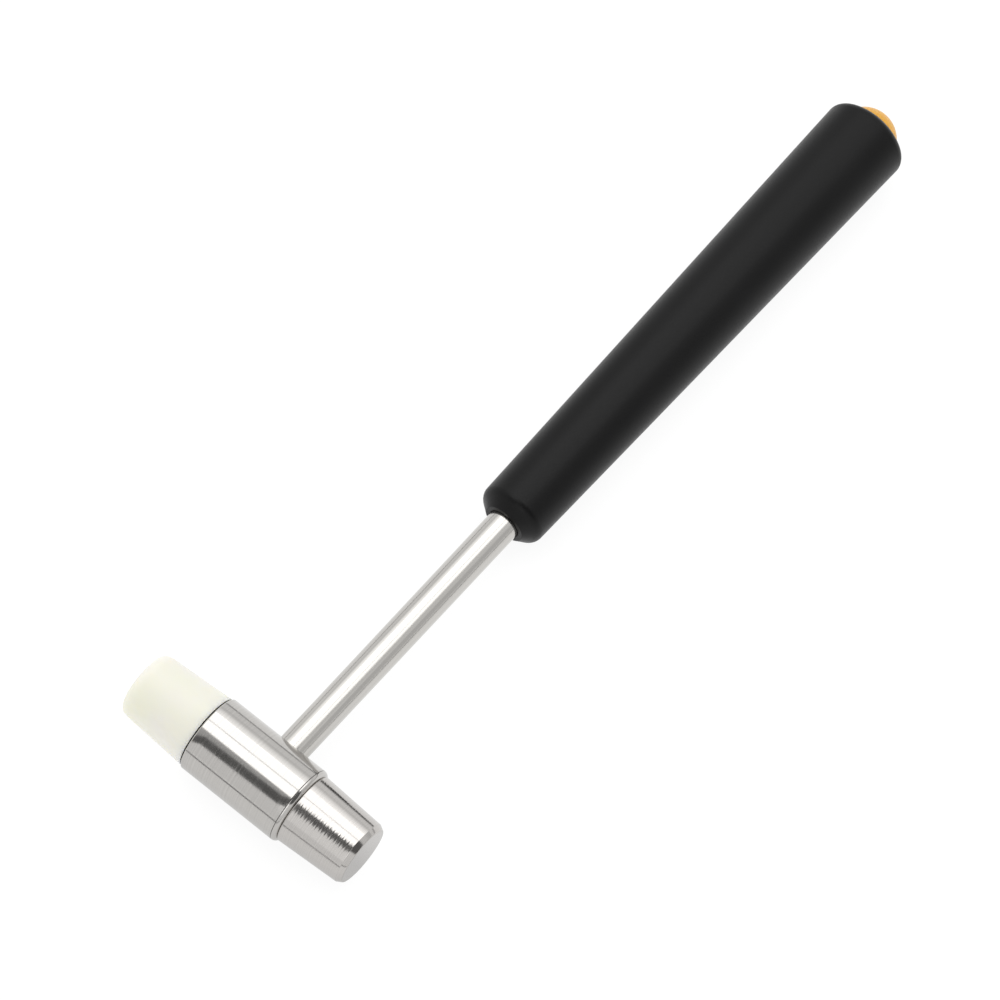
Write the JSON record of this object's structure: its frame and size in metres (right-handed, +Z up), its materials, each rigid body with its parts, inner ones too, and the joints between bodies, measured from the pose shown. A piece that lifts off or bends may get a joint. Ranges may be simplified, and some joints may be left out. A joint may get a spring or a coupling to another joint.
{
  "type": "two-faced hammer",
  "caption": "Small bench hammer with a turned steel face and a nylon face that unscrew from a steel barrel, a thin steel shaft and a tapered moulded grip with a domed end plug.",
  "frame": {"origin": "on the surface that the hammer lies on, under the middle of its bounding box", "axes": "+X along the handle from the head to the butt, +Y along the head towards the nylon face, +Z up"},
  "size_m": [0.1868, 0.0498, 0.0168],
  "materials": {
    "barrel_steel": "polished, nickel-plated steel with faint turning lines",
    "face_steel": "fine-turned bright steel, flat end ground",
    "nylon": "natural ivory nylon, smooth, slightly translucent",
    "shaft_steel": "polished bright steel rod",
    "grip_plastic": "black moulding, satin",
    "plug_plastic": "orange moulding, satin gloss",
    "zinc_steel": "zinc-plated steel"
  },
  "bodies": {
    "hammer": {"head_barrel": "barrel_steel", "shaft": "shaft_steel", "grip": "grip_plastic", "tail_washer": "zinc_steel", "tail_nut": "zinc_steel", "end_plug": "plug_plastic"},
    "nylon_face": {"nylon_face": "nylon"},
    "steel_face": {"steel_face": "face_steel"}
  },
  "joints": [
    {"name": "nylon_face_unscrew", "type": "slide", "parent": "hammer", "child": "nylon_face", "axis": [0, 1, 0], "range_m": [0, 0.009]},
    {"name": "steel_face_unscrew", "type": "slide", "parent": "hammer", "child": "steel_face", "axis": [0, -1, 0], "range_m": [0, 0.005]}
  ]
}
